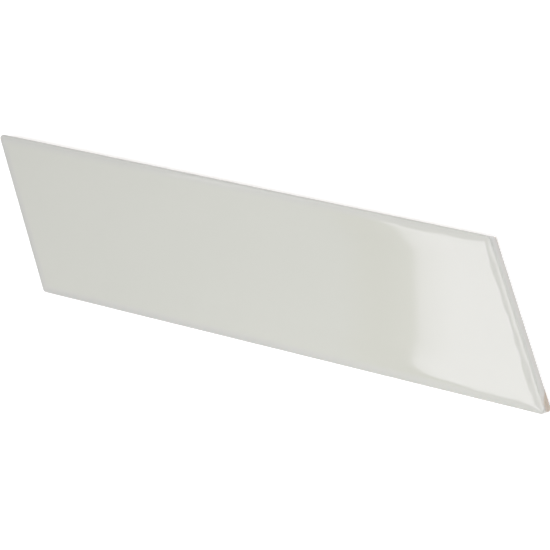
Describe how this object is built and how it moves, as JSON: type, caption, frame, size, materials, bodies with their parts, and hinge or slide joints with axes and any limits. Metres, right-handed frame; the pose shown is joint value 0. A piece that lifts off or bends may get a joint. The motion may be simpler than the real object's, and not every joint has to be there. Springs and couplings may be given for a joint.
{
  "type": "chevron wall tile",
  "caption": "Flat parallelogram wall tile with slanted ends, a glossy off-white glazed face with softly rolled edges, and a shallow pocketed back that keys into adhesive.",
  "frame": {"origin": "middle of the back, in the plane that the back's ribs and border lie in", "axes": "+X along the long edges, +Y square across the tile towards the long edge whose acute corner is at -X, +Z out of the glazed face"},
  "size_m": [0.2142, 0.052, 0.009],
  "materials": {
    "glazed_body": "gloss"
  },
  "bodies": {
    "root": {"tile": "glazed_body"}
  },
  "joints": []
}
